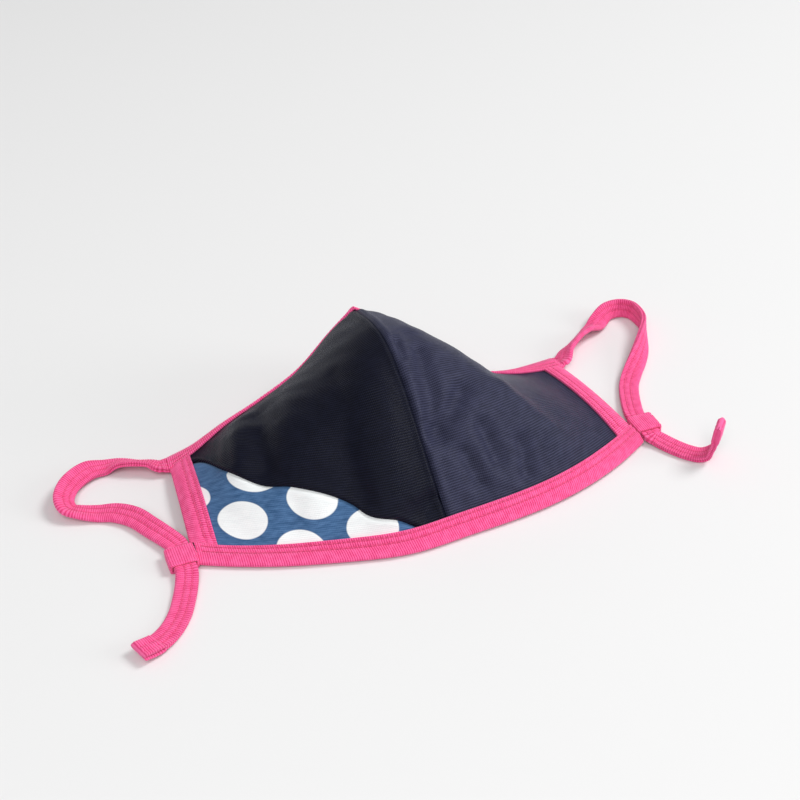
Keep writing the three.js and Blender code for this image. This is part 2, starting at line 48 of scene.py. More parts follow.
TOP_WIDTH = 205.0
LEFT_CHIN_SHARE = 0.503
LEFT_TOP_SHARE = 0.515
SIDE_HEIGHT = 74.0
CHIN_SAG = 27.5
LEFT_CHIN_CURVE = 2.2
RIGHT_CHIN_CURVE = 2.5
CHIN_BULGE = 2.5
BULGE_PLACE = -0.10
BULGE_SPAN = 0.107
NOSE_REACH = 31.0
NOSE_HEIGHT = 43.0
RIDGE_HEIGHT = 61.0
SEAM_BOW = 5.0
FLARE_DEPTH = 6.0
TURN_DEPTH = 8.0
TURN_SPAN = 16.0
SETTLE = 0.4
FOLD_DEPTH = 2.0
FOLD_SPAN = 8.0
CLOTH = 1.2
TAPE = 1.0
TAPE_WIDTH = 11.5
CHANNEL_GAP = 0.35
CLOTH_TUCK = 3.5
JOIN_GAP = 0.3
FLOOR_PRESS = 0.2
STRAP_WIDTH = 10.0
STRAP_THICK = 2.4
LEFT_LOOP_REACH = 50.0
RIGHT_LOOP_REACH = 64.0
LEFT_TAIL_REACH = 57.0
RIGHT_TAIL_REACH = 62.0
HEM_LENGTH = 9.0
HEM_SWELL = 1.5
KEEPER_LENGTH = 11.5
LEFT_KEEPER = (2.4, -1.3)
RIGHT_KEEPER = (1.0, 4.5)
KEEPER_WALL = 1.1
KEEPER_CLEARANCE = 0.4
HALF_CLOTH = CLOTH / 2
HALF_BINDING = HALF_CLOTH + CHANNEL_GAP + TAPE
HALF_RIM = 1.2
EDGE_LIFT = HALF_BINDING - FLOOR_PRESS
CURVE_SAMPLES = 240
# A share of the way across, and millimetres up
NORMAL_STEPS = (0.004, 0.2)

# Rows: across, flare, shoulder, height, sharp, reach, nose, turn
LEFT_SECTIONS = [
    (0.00, 0.90, 0.50, 1.00, 2.6, 1.00, 1.00, 0.45),
    (0.12, 1.05, 0.49, 0.93, 1.9, 0.93, 0.80, 1.00),
    (0.30, 1.15, 0.48, 0.73, 1.4, 0.76, 0.42, 0.75),
    (0.50, 1.30, 0.50, 0.56, 1.2, 0.56, 0.18, 0.20),
    (0.70, 1.25, 0.52, 0.35, 1.0, 0.36, 0.06, 0.00),
    (0.87, 0.80, 0.52, 0.15, 1.0, 0.15, 0.00, 0.00),
    (1.00, 0.00, 0.50, 0.05, 1.0, 0.00, 0.00, 0.00),
]
RIGHT_SECTIONS = [
    (0.00, 0.90, 0.50, 1.00, 2.6, 1.00, 1.00, 0.45),
    (0.12, 0.85, 0.50, 0.94, 1.9, 0.94, 0.84, 1.00),
    (0.30, 0.66, 0.50, 0.78, 1.4, 0.66, 0.38, 1.00),
    (0.50, 0.50, 0.46, 0.51, 1.2, 0.27, 0.07, 0.40),
    (0.70, 0.26, 0.45, 0.30, 1.0, 0.07, 0.00, 0.00),
    (0.87, 0.08, 0.45, 0.13, 1.0, 0.09, 0.00, 0.00),
    (1.00, 0.00, 0.50, 0.05, 1.0, 0.13, 0.00, 0.00),
]

# Rows: from across, from up, to across, to up, depth (share of FOLD_DEPTH), spread (of FOLD_SPAN)
LEFT_FOLDS = [
    (0.66, 0.76, 0.72, 0.50, 1.0, 1.0),
    (0.58, 0.72, 0.66, 0.36, -1.0, 0.9),
    (0.13, 0.45, 0.22, 0.12, 0.9, 1.6),
    (0.33, 0.36, 0.34, 0.17, -0.8, 0.9),
    (0.06, 0.13, 0.15, 0.10, -0.6, 0.6),
    (0.58, 0.23, 0.61, 0.12, -0.5, 0.7),
    (0.42, 0.17, 0.45, 0.11, -0.5, 0.6),
]
RIGHT_FOLDS = [
    (0.12, 0.62, 0.04, 0.30, -0.9, 0.6),
    (0.24, 0.41, 0.08, 0.29, -0.9, 0.8),
    (0.26, 0.29, 0.28, 0.18, -0.7, 0.7),
    (0.14, 0.23, 0.18, 0.13, -0.6, 0.6),
    (0.41, 0.23, 0.39, 0.12, -0.6, 0.7),
    (0.42, 0.42, 0.60, 0.22, 1.0, 1.2),
]

# Upper edge of the dotted insert: across, up
INSERT_EDGE = [
    (0.07, 0.030), (0.20, 0.100), (0.32, 0.140), (0.36, 0.175), (0.43, 0.220),
    (0.56, 0.290), (0.70, 0.380), (0.79, 0.530), (0.87, 0.750), (1.00, 0.840),
]

# Strap routes, as in the solids. Loops: out, along, raise, roll. Tails: out, ahead, raise, roll
LEFT_LOOP = [
    (0.17, 0.96, 0.03, 31), (0.29, 0.99, 0.03, 36), (0.44, 1.04, 0.05, 24), (0.58, 1.06, 0.10, 0),
    (0.72, 1.04, 0.12, -20), (0.85, 0.98, 0.12, -32), (0.95, 0.90, 0.12, -35), (1.00, 0.80, 0.10, -32),
    (0.97, 0.72, 0.06, -22), (0.86, 0.68, 0.04, -10), (0.73, 0.65, 0.03, 0), (0.57, 0.60, 0.02, 12),
    (0.42, 0.51, 0.02, 22), (0.30, 0.39, 0.04, 18),
]
RIGHT_LOOP = [
    (0.17, 1.06, 0.03, -42), (0.28, 1.12, 0.00, -56), (0.39, 1.18, 0.00, -56), (0.50, 1.23, 0.03, -44),
    (0.61, 1.28, 0.08, -12), (0.71, 1.34, 0.02, 30), (0.82, 1.39, 0.00, 58), (0.94, 1.39, 0.00, 68),
    (1.00, 1.34, 0.00, 74), (1.00, 1.25, 0.00, 80), (0.96, 1.14, 0.00, 92), (0.85, 1.01, 0.00, 112),
    (0.74, 0.90, 0.00, 134), (0.61, 0.79, 0.00, 154), (0.48, 0.69, 0.02, 170), (0.34, 0.56, 0.05, 180),
]
LEFT_TAIL = [
    (0.03, 0.15, 0.02, 0), (0.09, 0.30, 0.00, 0), (0.16, 0.44, 0.00, 0), (0.26, 0.57, 0.03, 0),
    (0.38, 0.67, 0.14, 0), (0.53, 0.73, 0.32, 0),
]
RIGHT_TAIL = [
    (0.03, 0.09, 0.06, 0), (0.09, 0.20, 0.02, 0), (0.16, 0.30, 0.00, 0), (0.23, 0.37, 0.04, 0),
    (0.28, 0.41, 0.30, 0), (0.30, 0.43, 0.85, 0), (0.305, 0.435, 1.45, 0), (0.31, 0.44, 2.10, 0),
]
# The right strap is turned over between its loop and its keeper
RIGHT_TURN = 180

# The photo's camera: it looks at LOOK_AT from CAMERA_DISTANCE, with a LENS in mm on a 36 mm sensor
CAMERA_ELEVATION = math.radians(37.2)
CAMERA_TURN = math.radians(22.1)
CAMERA_DISTANCE = 672.0
LOOK_AT = (15.1, 77.2, 0.0)
LENS = 60.0

# Ribs of the tape, its stitch rows (insets from the edge) and the overlap where pieces are sewn
RIB_PITCH = 1.05
RIB_HEIGHT = 0.13
RIB_SAMPLES = 4
STITCH_PITCH = 2.1
STITCH_ROWS = (6.8, 9.9)
THREAD = 0.42
SEWN_IN = 0.6
STRAP_ROWS = (-0.6, 2.4)
SAMPLE_STEP = RIB_PITCH / RIB_SAMPLES
PROFILE_STEP = 0.36
# Where the tape starts to thicken from its rim, and over what length
RIM_SPAN = (1.0, 3.5)
# Length over which the tapes turn into the seam's plane
SEAM_REACH = 6.0
# Height over the table below which no point lies
TABLE_CLEARANCE = 0.02
# Distance of the cloth's points: across, up
CLOTH_SPACING = (0.9, 1.0)

# The strap's first stops, as in the solids, and its straight lead in and out of the keeper
START_STEP = 2.0
START_TWIST = 0.25
KEEPER_LEAD = 3.0

# Where the drawing frame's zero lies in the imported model, from the left keeper
keeper_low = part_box("strap_keeper_left")[0]
KEEPER_HALF_WIDTH = STRAP_WIDTH / 2 + KEEPER_CLEARANCE + KEEPER_WALL
LEFT_KEEPER_END = CHIN_WIDTH * LEFT_CHIN_SHARE - LEFT_KEEPER[0] + JOIN_GAP + 2 * KEEPER_HALF_WIDTH
SHIFT = np.array([keeper_low[0] * 1000 + LEFT_KEEPER_END, keeper_low[1] * 1000 - LEFT_KEEPER[1], 0.0])


def metres(points):
    """Points of the drawing frame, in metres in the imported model's frame."""
    return (np.asarray(points, float) + SHIFT) / 1000


def smooth(t):
    t = np.clip(t, 0, 1)
    return t * t * (3 - 2 * t)


def cubic(t, p0, t0, p1, t1):
    """The smooth curve from p0 to p1 with the tangents t0 and t1."""
    return (2 * t**3 - 3 * t**2 + 1) * p0 + (t**3 - 2 * t**2 + t) * t0 \
        + (3 * t**2 - 2 * t**3) * p1 + (t**3 - t**2) * t1


def between(rows, across):
    """Every column of a table at places between its rows, on a smooth curve through them."""
    table = np.array(rows, float)
    x = table[:, 0]
    across = np.atleast_1d(np.asarray(across, float))
    i = np.clip(np.searchsorted(x, across, side="right") - 1, 0, len(x) - 2)
    slope = np.diff(table, axis=0) / np.diff(x)[:, None]
    tangent = np.vstack([slope[:1], (slope[1:] + slope[:-1]) / 2, slope[-1:]])
    span = (x[i + 1] - x[i])[:, None]
    t = ((across - x[i]) / span[:, 0])[:, None]
    return cubic(t, table[i], span * tangent[i], table[i + 1], span * tangent[i + 1])


def run_lengths(points):
    steps = np.linalg.norm(np.diff(points, axis=-2), axis=-1)
    return np.concatenate([np.zeros(steps.shape[:-1] + (1,)), np.cumsum(steps, axis=-1)], axis=-1)


class Half:
    """One half's middle surface. across runs from the seam to the side edge, d up from the chin edge."""

    def __init__(self, side, chin_share, top_share, curve, rows, folds, keeper):
        self.side, self.curve, self.rows, self.folds = side, curve, rows, folds
        self.keeper_inset, self.keeper_front = keeper
        self.chin, self.top = CHIN_WIDTH * chin_share, TOP_WIDTH * top_share

    def side_x(self, y):
        """The side edge's distance from the seam."""
        return self.chin + (self.top - self.chin) * y / SIDE_HEIGHT

    def chin_y(self, across):
        """The chin edge: a bow between the corners, with a bulge to the left of the seam."""
        place = (self.side * self.chin * across / CHIN_WIDTH - BULGE_PLACE) / BULGE_SPAN
        return CHIN_SAG * (across**self.curve - 1) - CHIN_BULGE * np.exp(-place**2)

    def keeper_x(self):
        return self.chin - self.keeper_inset + JOIN_GAP + KEEPER_HALF_WIDTH

    def sections(self, across):
        row = between(self.rows, across)
        _, flare, shoulder, height, sharp, reach, nose, turn = (row[:, k] for k in range(8))
        chin = np.stack([self.chin * across, self.chin_y(across), np.full(len(across), EDGE_LIFT)], 1)
        top = np.stack([self.top * across, SIDE_HEIGHT + NOSE_REACH * reach,
                        EDGE_LIFT + (NOSE_HEIGHT - EDGE_LIFT) * nose], 1)
        peak = chin + (top - chin) * shoulder[:, None]
        peak[:, 0] = (chin[:, 0] + top[:, 0]) / 2
        peak[:, 2] = EDGE_LIFT + (RIDGE_HEIGHT - EDGE_LIFT) * height
        w = sharp[:, None]
        control = (peak * (2 + 2 * w) - chin - top) / (2 * w)
        t = np.linspace(0, 1, CURVE_SAMPLES + 1)[None, :, None]
        w = w[:, :, None]
        points = (1 - t)**2 * chin[:, None] + 2 * t * (1 - t) * w * control[:, None] + t**2 * top[:, None]
        points = points / ((1 - t)**2 + 2 * t * (1 - t) * w + t**2)
        lengths = run_lengths(points)
        share = lengths / lengths[:, -1:]
        z = lengths / TAPE_WIDTH
        hollow = FLARE_DEPTH * flare[:, None] * z * np.exp(1 - z) * (1 - share)
        points[:, :, 0] -= self.side * SEAM_BOW * 4 * share * (1 - share) * (1 - across[:, None])**2
        over = TURN_DEPTH * turn[:, None] * (1 - smooth((lengths[:, -1:] - lengths) / TURN_SPAN))
        rise = points[:, :, 2] - EDGE_LIFT
        left = rise - hollow - over
        points[:, :, 2] = EDGE_LIFT + (left + np.hypot(left, SETTLE * rise)) / (1 + math.hypot(1, SETTLE))
        return points, run_lengths(points)

    def length(self, across):
        return self.sections(np.atleast_1d(np.asarray(across, float)))[1][:, -1]

    def place(self, across, d):
        points, lengths = self.sections(across)
        out = np.empty(d.shape + (3,))
        for i in range(len(across)):
            for k in range(3):
                out[i, :, k] = np.interp(d[i], lengths[i], points[i, :, k])
        out[:, :, 0] *= self.side
        return out

    def normals(self, across, d):
        """Normals from the places a small step beside and above each point."""
        beside, above = NORMAL_STEPS
        low, high = np.maximum(across - beside, 0), np.minimum(across + beside, 1)
        full = self.length(across)[:, None]
        out = self.place(high, d / full * self.length(high)[:, None]) \
            - self.place(low, d / full * self.length(low)[:, None])
        up = self.place(across, np.minimum(d + above, full)) - self.place(across, np.maximum(d - above, 0))
        normal = np.cross(out, up) * self.side
        normal /= np.linalg.norm(normal, axis=2, keepdims=True)
        return normal

    def crease(self, across, normals, reach):
        """Turns the normals into the seam's plane beside the seam."""
        flat = normals * np.array([0, 1, 1])
        flat /= np.linalg.norm(flat, axis=2, keepdims=True)
        flat /= np.sum(flat * normals, axis=2, keepdims=True)
        near = 1 - smooth(across * self.chin / reach)[:, None, None]
        return normals * (1 - near) + flat * near

    def ridges(self, folds, across, d):
        """Height of rows of folds, and how far each point lies inside the tapes."""
        full = self.length(across)[:, None]
        height = np.zeros_like(d)
        x = across[:, None] * self.chin
        for a0, u0, a1, u1, depth, spread in folds:
            fx, fy = a0 * self.chin, u0 * full
            rx, ry = (a1 - a0) * self.chin, (u1 - u0) * full
            t = np.clip(((x - fx) * rx + (d - fy) * ry) / (rx**2 + ry**2), 0, 1)
            off = np.hypot(x - fx - t * rx, d - fy - t * ry) / (spread * FOLD_SPAN)
            height += FOLD_DEPTH * depth * np.exp(-off**2)
        inside = np.minimum(np.minimum(d, full - d), (1 - across[:, None]) * self.chin) - TAPE_WIDTH
        return height, inside

    def fold_height(self, across, d):
        height, inside = self.ridges(self.folds, across, d)
        return height * smooth(inside / FOLD_SPAN)

    def points(self, across, d, offset, crease=0.4):
        """Points a given height over the cloth's middle, with the folds."""
        normals = self.crease(across, self.normals(across, d), crease)
        height = self.fold_height(across, d) + offset
        return self.place(across, d) + normals * height[:, :, None]


LEFT = Half(-1, LEFT_CHIN_SHARE, LEFT_TOP_SHARE, LEFT_CHIN_CURVE, LEFT_SECTIONS, LEFT_FOLDS, LEFT_KEEPER)
RIGHT = Half(1, 1 - LEFT_CHIN_SHARE, 1 - LEFT_TOP_SHARE, RIGHT_CHIN_CURVE, RIGHT_SECTIONS, RIGHT_FOLDS,
             RIGHT_KEEPER)


def make_piece(name, points, faces, material, nodes=(), flat=None, materials=None):
    """A mesh piece from drawing-frame points. flat holds each point's place on the flat cloth, in mm."""
    mesh = bpy.data.meshes.new(name)
    mesh.from_pydata(metres(points).tolist(), [], [list(map(int, face)) for face in faces])
    mesh.polygons.foreach_set("use_smooth", [True] * len(mesh.polygons))
    if flat is not None:
        layer = mesh.uv_layers.new(name="flat")
        corner = np.empty(len(mesh.loops), dtype=np.int32)
        mesh.loops.foreach_get("vertex_index", corner)
        layer.data.foreach_set("uv", (np.asarray(flat)[corner] / 1000).astype(np.float32).ravel())
    mesh.materials.append(material)
    mesh.update()
    piece = bpy.data.objects.new(name, mesh)
    bpy.context.scene.collection.objects.link(piece)
    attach(piece, "root")
    if nodes:
        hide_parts(*nodes)
    return piece


def grid_faces(rows, columns, start=0, wrap=False, flip=False):
    """Quads between neighbouring rows of points."""
    faces = []
    last = columns if wrap else columns - 1
    for i in range(rows - 1):
        for j in range(last):
            k = (j + 1) % columns
            a, b = start + i * columns + j, start + (i + 1) * columns + j
            c, d = start + (i + 1) * columns + k, start + i * columns + k
            faces.append((a, d, c, b) if flip else (a, b, c, d))
    return faces


def shell(outer, inner, flat):
    """A closed skin round two facing grids of points: (points, faces, flat)."""
    rows, columns = outer.shape[:2]
    size = rows * columns
    points = np.vstack([outer.reshape(-1, 3), inner.reshape(-1, 3)])
    faces = grid_faces(rows, columns) + grid_faces(rows, columns, size, flip=True)
    rim = [i * columns for i in range(rows)] \
        + [(rows - 1) * columns + j for j in range(1, columns)] \
        + [i * columns + columns - 1 for i in range(rows - 2, -1, -1)] \
        + [j for j in range(columns - 2, 0, -1)]
    for k, a in enumerate(rim):
        b = rim[(k + 1) % len(rim)]
        faces.append((a, a + size, b + size, b))
    return points, faces, np.vstack([flat.reshape(-1, 2)] * 2)


def outward(points, faces):
    """The faces, turned so that they point out of the closed body."""
    p = np.asarray(points)
    volume = 0.0
    for face in faces:
        a = p[face[0]]
        for k in range(1, len(face) - 1):
            volume += np.dot(a, np.cross(p[face[k]], p[face[k + 1]]))
    return faces if volume > 0 else [face[::-1] for face in faces]


def flat_x(half, across, height=0.25):
    """Length over the cloth from the seam, at a share of the sections' length."""
    fine = np.linspace(0, 1, 201)
    run = half.place(fine, (half.length(fine) * height)[:, None])[:, 0]
    return np.interp(across, fine, run_lengths(run))


# Fine folds and creases that the solids leave out, as rows like those of the main folds
LEFT_CREASES = [
    (0.75, 0.72, 0.79, 0.52, 0.25, 0.35),
    (0.45, 0.80, 0.52, 0.60, -0.2, 0.5),
    (0.25, 0.60, 0.28, 0.40, -0.25, 0.5),
    (0.70, 0.66, 0.71, 0.50, 0.5, 0.7),
    (0.63, 0.60, 0.64, 0.42, -0.6, 0.5),
    (0.10, 0.42, 0.21, 0.14, 0.4, 1.0),
    (0.32, 0.34, 0.31, 0.20, -0.45, 0.6),
    (0.025, 0.125, 0.09, 0.09, -0.6, 0.35),
    (0.04, 0.165, 0.11, 0.145, 0.4, 0.35),
]
RIGHT_CREASES = [
    (0.05, 0.58, 0.03, 0.36, 0.6, 0.35),
    (0.35, 0.34, 0.34, 0.20, -0.3, 0.45),
    (0.22, 0.22, 0.24, 0.13, 0.3, 0.4),
    (0.50, 0.26, 0.47, 0.14, -0.25, 0.5),
    (0.046, 0.59, 0.038, 0.53, -1.5, 0.3),
    (0.13, 0.55, 0.085, 0.32, -1.1, 0.42),
    (0.07, 0.30, 0.08, 0.27, -0.7, 0.45),
    (0.24, 0.41, 0.09, 0.29, -1.1, 0.48),
    (0.27, 0.28, 0.28, 0.19, -1.1, 0.5),
    (0.155, 0.22, 0.185, 0.13, -1.0, 0.45),
    (0.41, 0.23, 0.39, 0.12, -1.0, 0.5),
    (0.425, 0.443, 0.571, 0.253, 0.5, 0.8),
]
# Slow waves of the cloth: length, direction, height
WAVES = ((31, 0.4, 0.12), (19, 1.9, 0.09), (13, 2.6, 0.06))
SEAM_DIP = 1.3
SEAM_PUFF = 0.55


def fine_height(half, creases, across, d):
    """Small relief of the cloth: creases, the sewn-in seam and a slow waviness."""
    x = across[:, None] * half.chin
    height, inside = half.ridges(creases, across, d)
    for pitch, turn, lift in WAVES:
        height += lift * np.sin(2 * math.pi * (x * math.cos(turn) + d * math.sin(turn)) / pitch
                                + 1.3 * np.sin(d / 23 + turn) + half.side)
    height *= smooth((inside + 1) / 6)
    seam = SEAM_PUFF * np.exp(-((x - 2.6) / 1.6)**2) - SEAM_DIP * np.exp(-(x / 0.9)**2)
    return height + seam * smooth((inside + 3) / 5)


def stations_across(half, spacing, fine=0.35, fine_reach=5.0):
    """Places from the seam outwards: close together beside the seam, then evenly spaced."""
    last = half.chin - CLOTH_TUCK
    near = np.arange(JOIN_GAP / 2, fine_reach, fine)
    far = np.linspace(near[-1], last, int((last - near[-1]) / spacing) + 2)[1:]
    return np.concatenate([near, far]) / half.chin


def cloth_piece(name, half, creases, across, low, high, edge_drop, material, nodes):
    """A panel of cloth from length low to length high at each station, as a thin closed shell."""
    spans = int(np.max(high - low) / CLOTH_SPACING[1]) + 1
    share = np.linspace(0, 1, spans + 1)[None, :]
    d = low[:, None] + (high - low)[:, None] * share
    relief = fine_height(half, creases, across, d) + edge_drop(across, d)
    faces = [half.points(across, d, relief + offset) for offset in (HALF_CLOTH, -HALF_CLOTH)]
    flat = np.stack([np.broadcast_to(flat_x(half, across)[:, None], d.shape), d], 2)
    points, quads, uv = shell(faces[0], faces[1], flat)
    return make_piece(name, points, outward(points, quads), material, nodes, uv)


def insert_top(across):
    return between(INSERT_EDGE, across)[:, 1] * LEFT.length(across)


def right_cloth(material):
    across = stations_across(RIGHT, CLOTH_SPACING[0])
    low = np.full(len(across), CLOTH_TUCK)
    high = RIGHT.length(across) - CLOTH_TUCK
    return cloth_piece("cloth_right", RIGHT, RIGHT_CREASES, across, low, high,
                       lambda a, d: 0 * d, material, ["panel_right"])


def left_cloth(material):
    across = stations_across(LEFT, CLOTH_SPACING[0])
    tip = INSERT_EDGE[0][0]
    low = np.where(across > tip, insert_top(across), CLOTH_TUCK)
    low = np.maximum(low, CLOTH_TUCK)
    high = LEFT.length(across) - CLOTH_TUCK

    def rolled(a, d):
        edge = d - insert_top(a)[:, None]
        puff = 0.45 * np.exp(-((edge - 2.4) / 1.7)**2) - 0.45 * np.exp(-(edge / 0.7)**2)
        return puff * (a[:, None] > tip)

    return cloth_piece("cloth_left", LEFT, LEFT_CREASES, across, low, high, rolled,
                       material, ["panel_left"])


def insert_cloth(material):
    tip = INSERT_EDGE[0][0] + 0.01
    across = np.linspace(tip, 1 - CLOTH_TUCK / LEFT.chin, 120)
    low = np.full(len(across), CLOTH_TUCK)
    high = insert_top(across) + 0.4

    def tucked(a, d):
        edge = insert_top(a)[:, None] - d
        return -1.0 * np.exp(-(np.maximum(edge, 0) / 1.5)**2)

    return cloth_piece("cloth_dotted", LEFT, LEFT_CREASES, across, low, high, tucked,
                       material, ["panel_left_dots"])


def tape_profile():
    """The folded tape's section: inset from the edge, height over the cloth, and relief weight."""
    top = HALF_BINDING
    leg = list(np.linspace(TAPE_WIDTH - 0.25, 10.3, 3)) + list(np.arange(10.0, 5.4, -PROFILE_STEP)) \
        + list(np.linspace(5.2, HALF_RIM + 0.3, 6))
    turn = [(HALF_RIM - HALF_RIM * math.cos(a), HALF_RIM * math.sin(a))
            for a in np.radians(np.linspace(75, -75, 7))]
    under = leg[::-1]

    def side_height(x):
        return HALF_RIM + (HALF_BINDING - HALF_RIM) * smooth((x - RIM_SPAN[0]) / RIM_SPAN[1])

    inner = HALF_CLOTH + 0.12
    profile = [(TAPE_WIDTH, inner, 0.0), (TAPE_WIDTH + 0.05, (inner + top) / 2, 0.0)]
    profile += [(TAPE_WIDTH - 0.02, top - 0.15, 0.3)]
    profile += [(x, side_height(x), 1.0) for x in leg]
    profile += [(x, h, 1.0) for x, h in turn]
    profile += [(x, -side_height(x), 1.0) for x in under]
    profile += [(TAPE_WIDTH - 0.02, 0.15 - top, 0.3), (TAPE_WIDTH + 0.05, -(inner + top) / 2, 0.0),
                (TAPE_WIDTH, -inner, 0.0), (CLOTH_TUCK, -inner, 0.0), (TAPE, -inner, 0.0),
                (TAPE, inner, 0.0), (CLOTH_TUCK, inner, 0.0)]
    return np.array(profile)


def tape_relief(inset, along, rows=STITCH_ROWS):
    """Ribs across the tape, and its stitch rows with their needle holes."""
    ribs = RIB_HEIGHT * np.sin(2 * math.pi * along / RIB_PITCH)
    groove = np.zeros(np.broadcast(inset, along).shape)
    for row in rows:
        hole = (along / STITCH_PITCH) % 1 - 0.5
        pit = 0.5 * np.exp(-((inset - row) / 0.4)**2) * np.exp(-(hole * STITCH_PITCH / 0.4)**2)
        groove -= 0.26 * np.exp(-((inset - row) / 0.55)**2) + pit
    crown = 0.12 * np.exp(-((inset - (rows[0] + rows[1]) / 2) / 0.9)**2)
    crown += 0.14 * np.exp(-((inset - 4.0) / 1.5)**2)
    return ribs * (1 - 0.4 * np.exp(-((inset - rows[0]) / 0.6)**2)) + groove + crown


def tape_rows(evaluate, along, closed_profile):
    """Rows of points along a tape, and their flat places."""
    inset, offset, weight = closed_profile.T
    rows = evaluate(inset, offset, weight, along)
    around = run_lengths(np.stack([inset, offset], 1))
    flat = np.stack(np.broadcast_arrays(along[:, None], around[None, :]), 2)
    return rows, flat


def ring_body(name, rows, flat, material, nodes, wrap_ends=False):
    """A body from rows of points round a profile, with both ends closed or joined."""
    count, size = rows.shape[:2]
    faces = grid_faces(count, size, wrap=True)
    points = rows.reshape(-1, 3)
    uv = flat.reshape(-1, 2)
    if wrap_ends:
        last = (count - 1) * size
        for j in range(size):
            k = (j + 1) % size
            faces.append((last + j, j, k, last + k))
    else:
        faces.append(tuple(range(size)))
        faces.append(tuple((count - 1) * size + j for j in range(size - 1, -1, -1)))
    return make_piece(name, points, outward(points, faces), material, nodes, uv)


def edge_tape(name, nodes, distance, end, material):
    """Tape along the chin or the top edge, from corner to corner over the seam."""
    def edge_run(half):
        fine = np.linspace(0, end(half), 400)
        run = half.place(fine, distance(half, fine, np.zeros((len(fine), 1))))[:, 0]
        return fine, run_lengths(run)

    (left_fine, left_run), (right_fine, right_run) = edge_run(LEFT), edge_run(RIGHT)

    def across_at(places):
        return np.where(places < 0, np.interp(-places, left_run, left_fine),
                        np.interp(places, right_run, right_fine))

    along = np.linspace(-left_run[-1], right_run[-1], int((left_run[-1] + right_run[-1]) / SAMPLE_STEP))
    across = across_at(along)
    profile = tape_profile()

    def evaluate(inset, offset, weight, along):
        out = np.empty((len(along), len(inset), 3))
        relief = tape_relief(inset[None, :], along[:, None]) * weight
        for half, mine in ((LEFT, along < 0), (RIGHT, along >= 0)):
            a = across[mine]
            d = distance(half, a, np.broadcast_to(inset, (len(a), len(inset))))
            height = offset + np.sign(offset) * relief[mine]
            out[mine] = half.points(a, d, height, crease=SEAM_REACH)
        out[:, :, 2] = np.maximum(out[:, :, 2], TABLE_CLEARANCE)
        return out

    rows, flat = tape_rows(evaluate, along, profile)
    piece = ring_body(name, rows, flat, material, nodes)
    lines = []
    for row in STITCH_ROWS:
        for sign in (1, -1):
            def line(places, row=row, sign=sign):
                a = across_at(places)
                out = np.empty((len(places), 3))
                normal = np.empty((len(places), 3))
                for half, mine in ((LEFT, places < 0), (RIGHT, places >= 0)):
                    if not mine.any():
                        continue
                    d = distance(half, a[mine], np.full((mine.sum(), 1), row))
                    height = np.full(d.shape, sign * (HALF_BINDING - 0.1))
                    out[mine] = half.points(a[mine], d, height, crease=SEAM_REACH)[:, 0]
                    normal[mine] = half.crease(a[mine], half.normals(a[mine], d), SEAM_REACH)[:, 0] * sign
                return out, normal

            lines.append((line, along[0] + 1, along[-1] - 1))
    return piece, lines


def side_tape(name, half, nodes, material):
    """Tape along a side edge, between the chin tape and the top tape."""
    margin = TAPE_WIDTH + 0.05
    total = half.length(np.array([1.0]))[0] - 2 * margin
    along = np.linspace(0, total, int(total / RIB_PITCH * RIB_SAMPLES))
    profile = tape_profile()

    def spots(insets, places):
        across = 1 - insets / half.chin
        full = half.length(across)
        return across, margin + (places / total)[None, :] * (full - 2 * margin)[:, None]

    def evaluate(inset, offset, weight, along):
        across, d = spots(inset, along)
        relief = (tape_relief(inset[None, :], along[:, None]) * weight).T
        out = half.points(across, d, offset[:, None] + np.sign(offset)[:, None] * relief)
        out[:, :, 2] = np.maximum(out[:, :, 2], TABLE_CLEARANCE)
        return out.transpose(1, 0, 2)

    rows, flat = tape_rows(evaluate, along, profile)
    piece = ring_body(name, rows, flat, material, nodes)
    lines = []
    for row in STITCH_ROWS:
        for sign in (1, -1):
            def line(places, row=row, sign=sign):
                across, d = spots(np.array([row]), places)
                out = half.points(across, d, np.full(d.shape, sign * (HALF_BINDING - 0.1)))[0]
                return out, half.normals(across, d)[0] * sign

            lines.append((line, 0.5, total - 0.5))
    return piece, lines


def strap_route(half, loop, loop_reach, tail, tail_reach, turn=0.0):
    """The strap's stops, as the solids have them: points (n, 3) and rolls (n) in degrees."""
    one = np.array([1.0])
    full = half.length(one)[0]
    rise = [half.place(one, np.array([[d]]))[0, 0] for d in (full - TAPE_WIDTH / 2, full - TAPE_WIDTH, full)]
    corner = rise[0]
    outward_xy = np.array([SIDE_HEIGHT, half.chin - half.top])
    outward_xy /= np.linalg.norm(outward_xy)
    lean = -half.side * math.degrees(math.asin((rise[1][2] - rise[2][2]) / TAPE_WIDTH))
    keeper_x = half.keeper_x()
    front = half.keeper_front
    back = front + KEEPER_LENGTH
    keeper_z = KEEPER_WALL + KEEPER_CLEARANCE + STRAP_THICK / 2

    def resting(roll):
        tilt = math.radians(roll)
        return STRAP_WIDTH / 2 * abs(math.sin(tilt)) + STRAP_THICK / 2 * abs(math.cos(tilt))

    def height(row):
        return resting(row[3]) + row[2] * STRAP_WIDTH

    stops = []
    for k in range(3):
        out = JOIN_GAP + START_STEP * k - (SEWN_IN if k == 0 else 0)
        roll = lean + (loop[0][3] - lean) * START_TWIST * k
        stops.append((abs(corner[0]) + outward_xy[0] * out, corner[1] + outward_xy[1] * out,
                      max(corner[2], resting(roll)), roll))
    for row in loop:
        y = row[1] * SIDE_HEIGHT
        stops.append((half.side_x(y) + row[0] * loop_reach, y, height(row), row[3]))
    for y in (back + KEEPER_LEAD, back, front, front - KEEPER_LEAD):
        stops.append((keeper_x, y, keeper_z, turn))
    for row in tail:
        stops.append((keeper_x + row[0] * tail_reach, front - row[1] * tail_reach, height(row),
                      turn + row[3]))
    stops = np.array(stops, float)
    stops[:, 0] *= half.side
    return stops


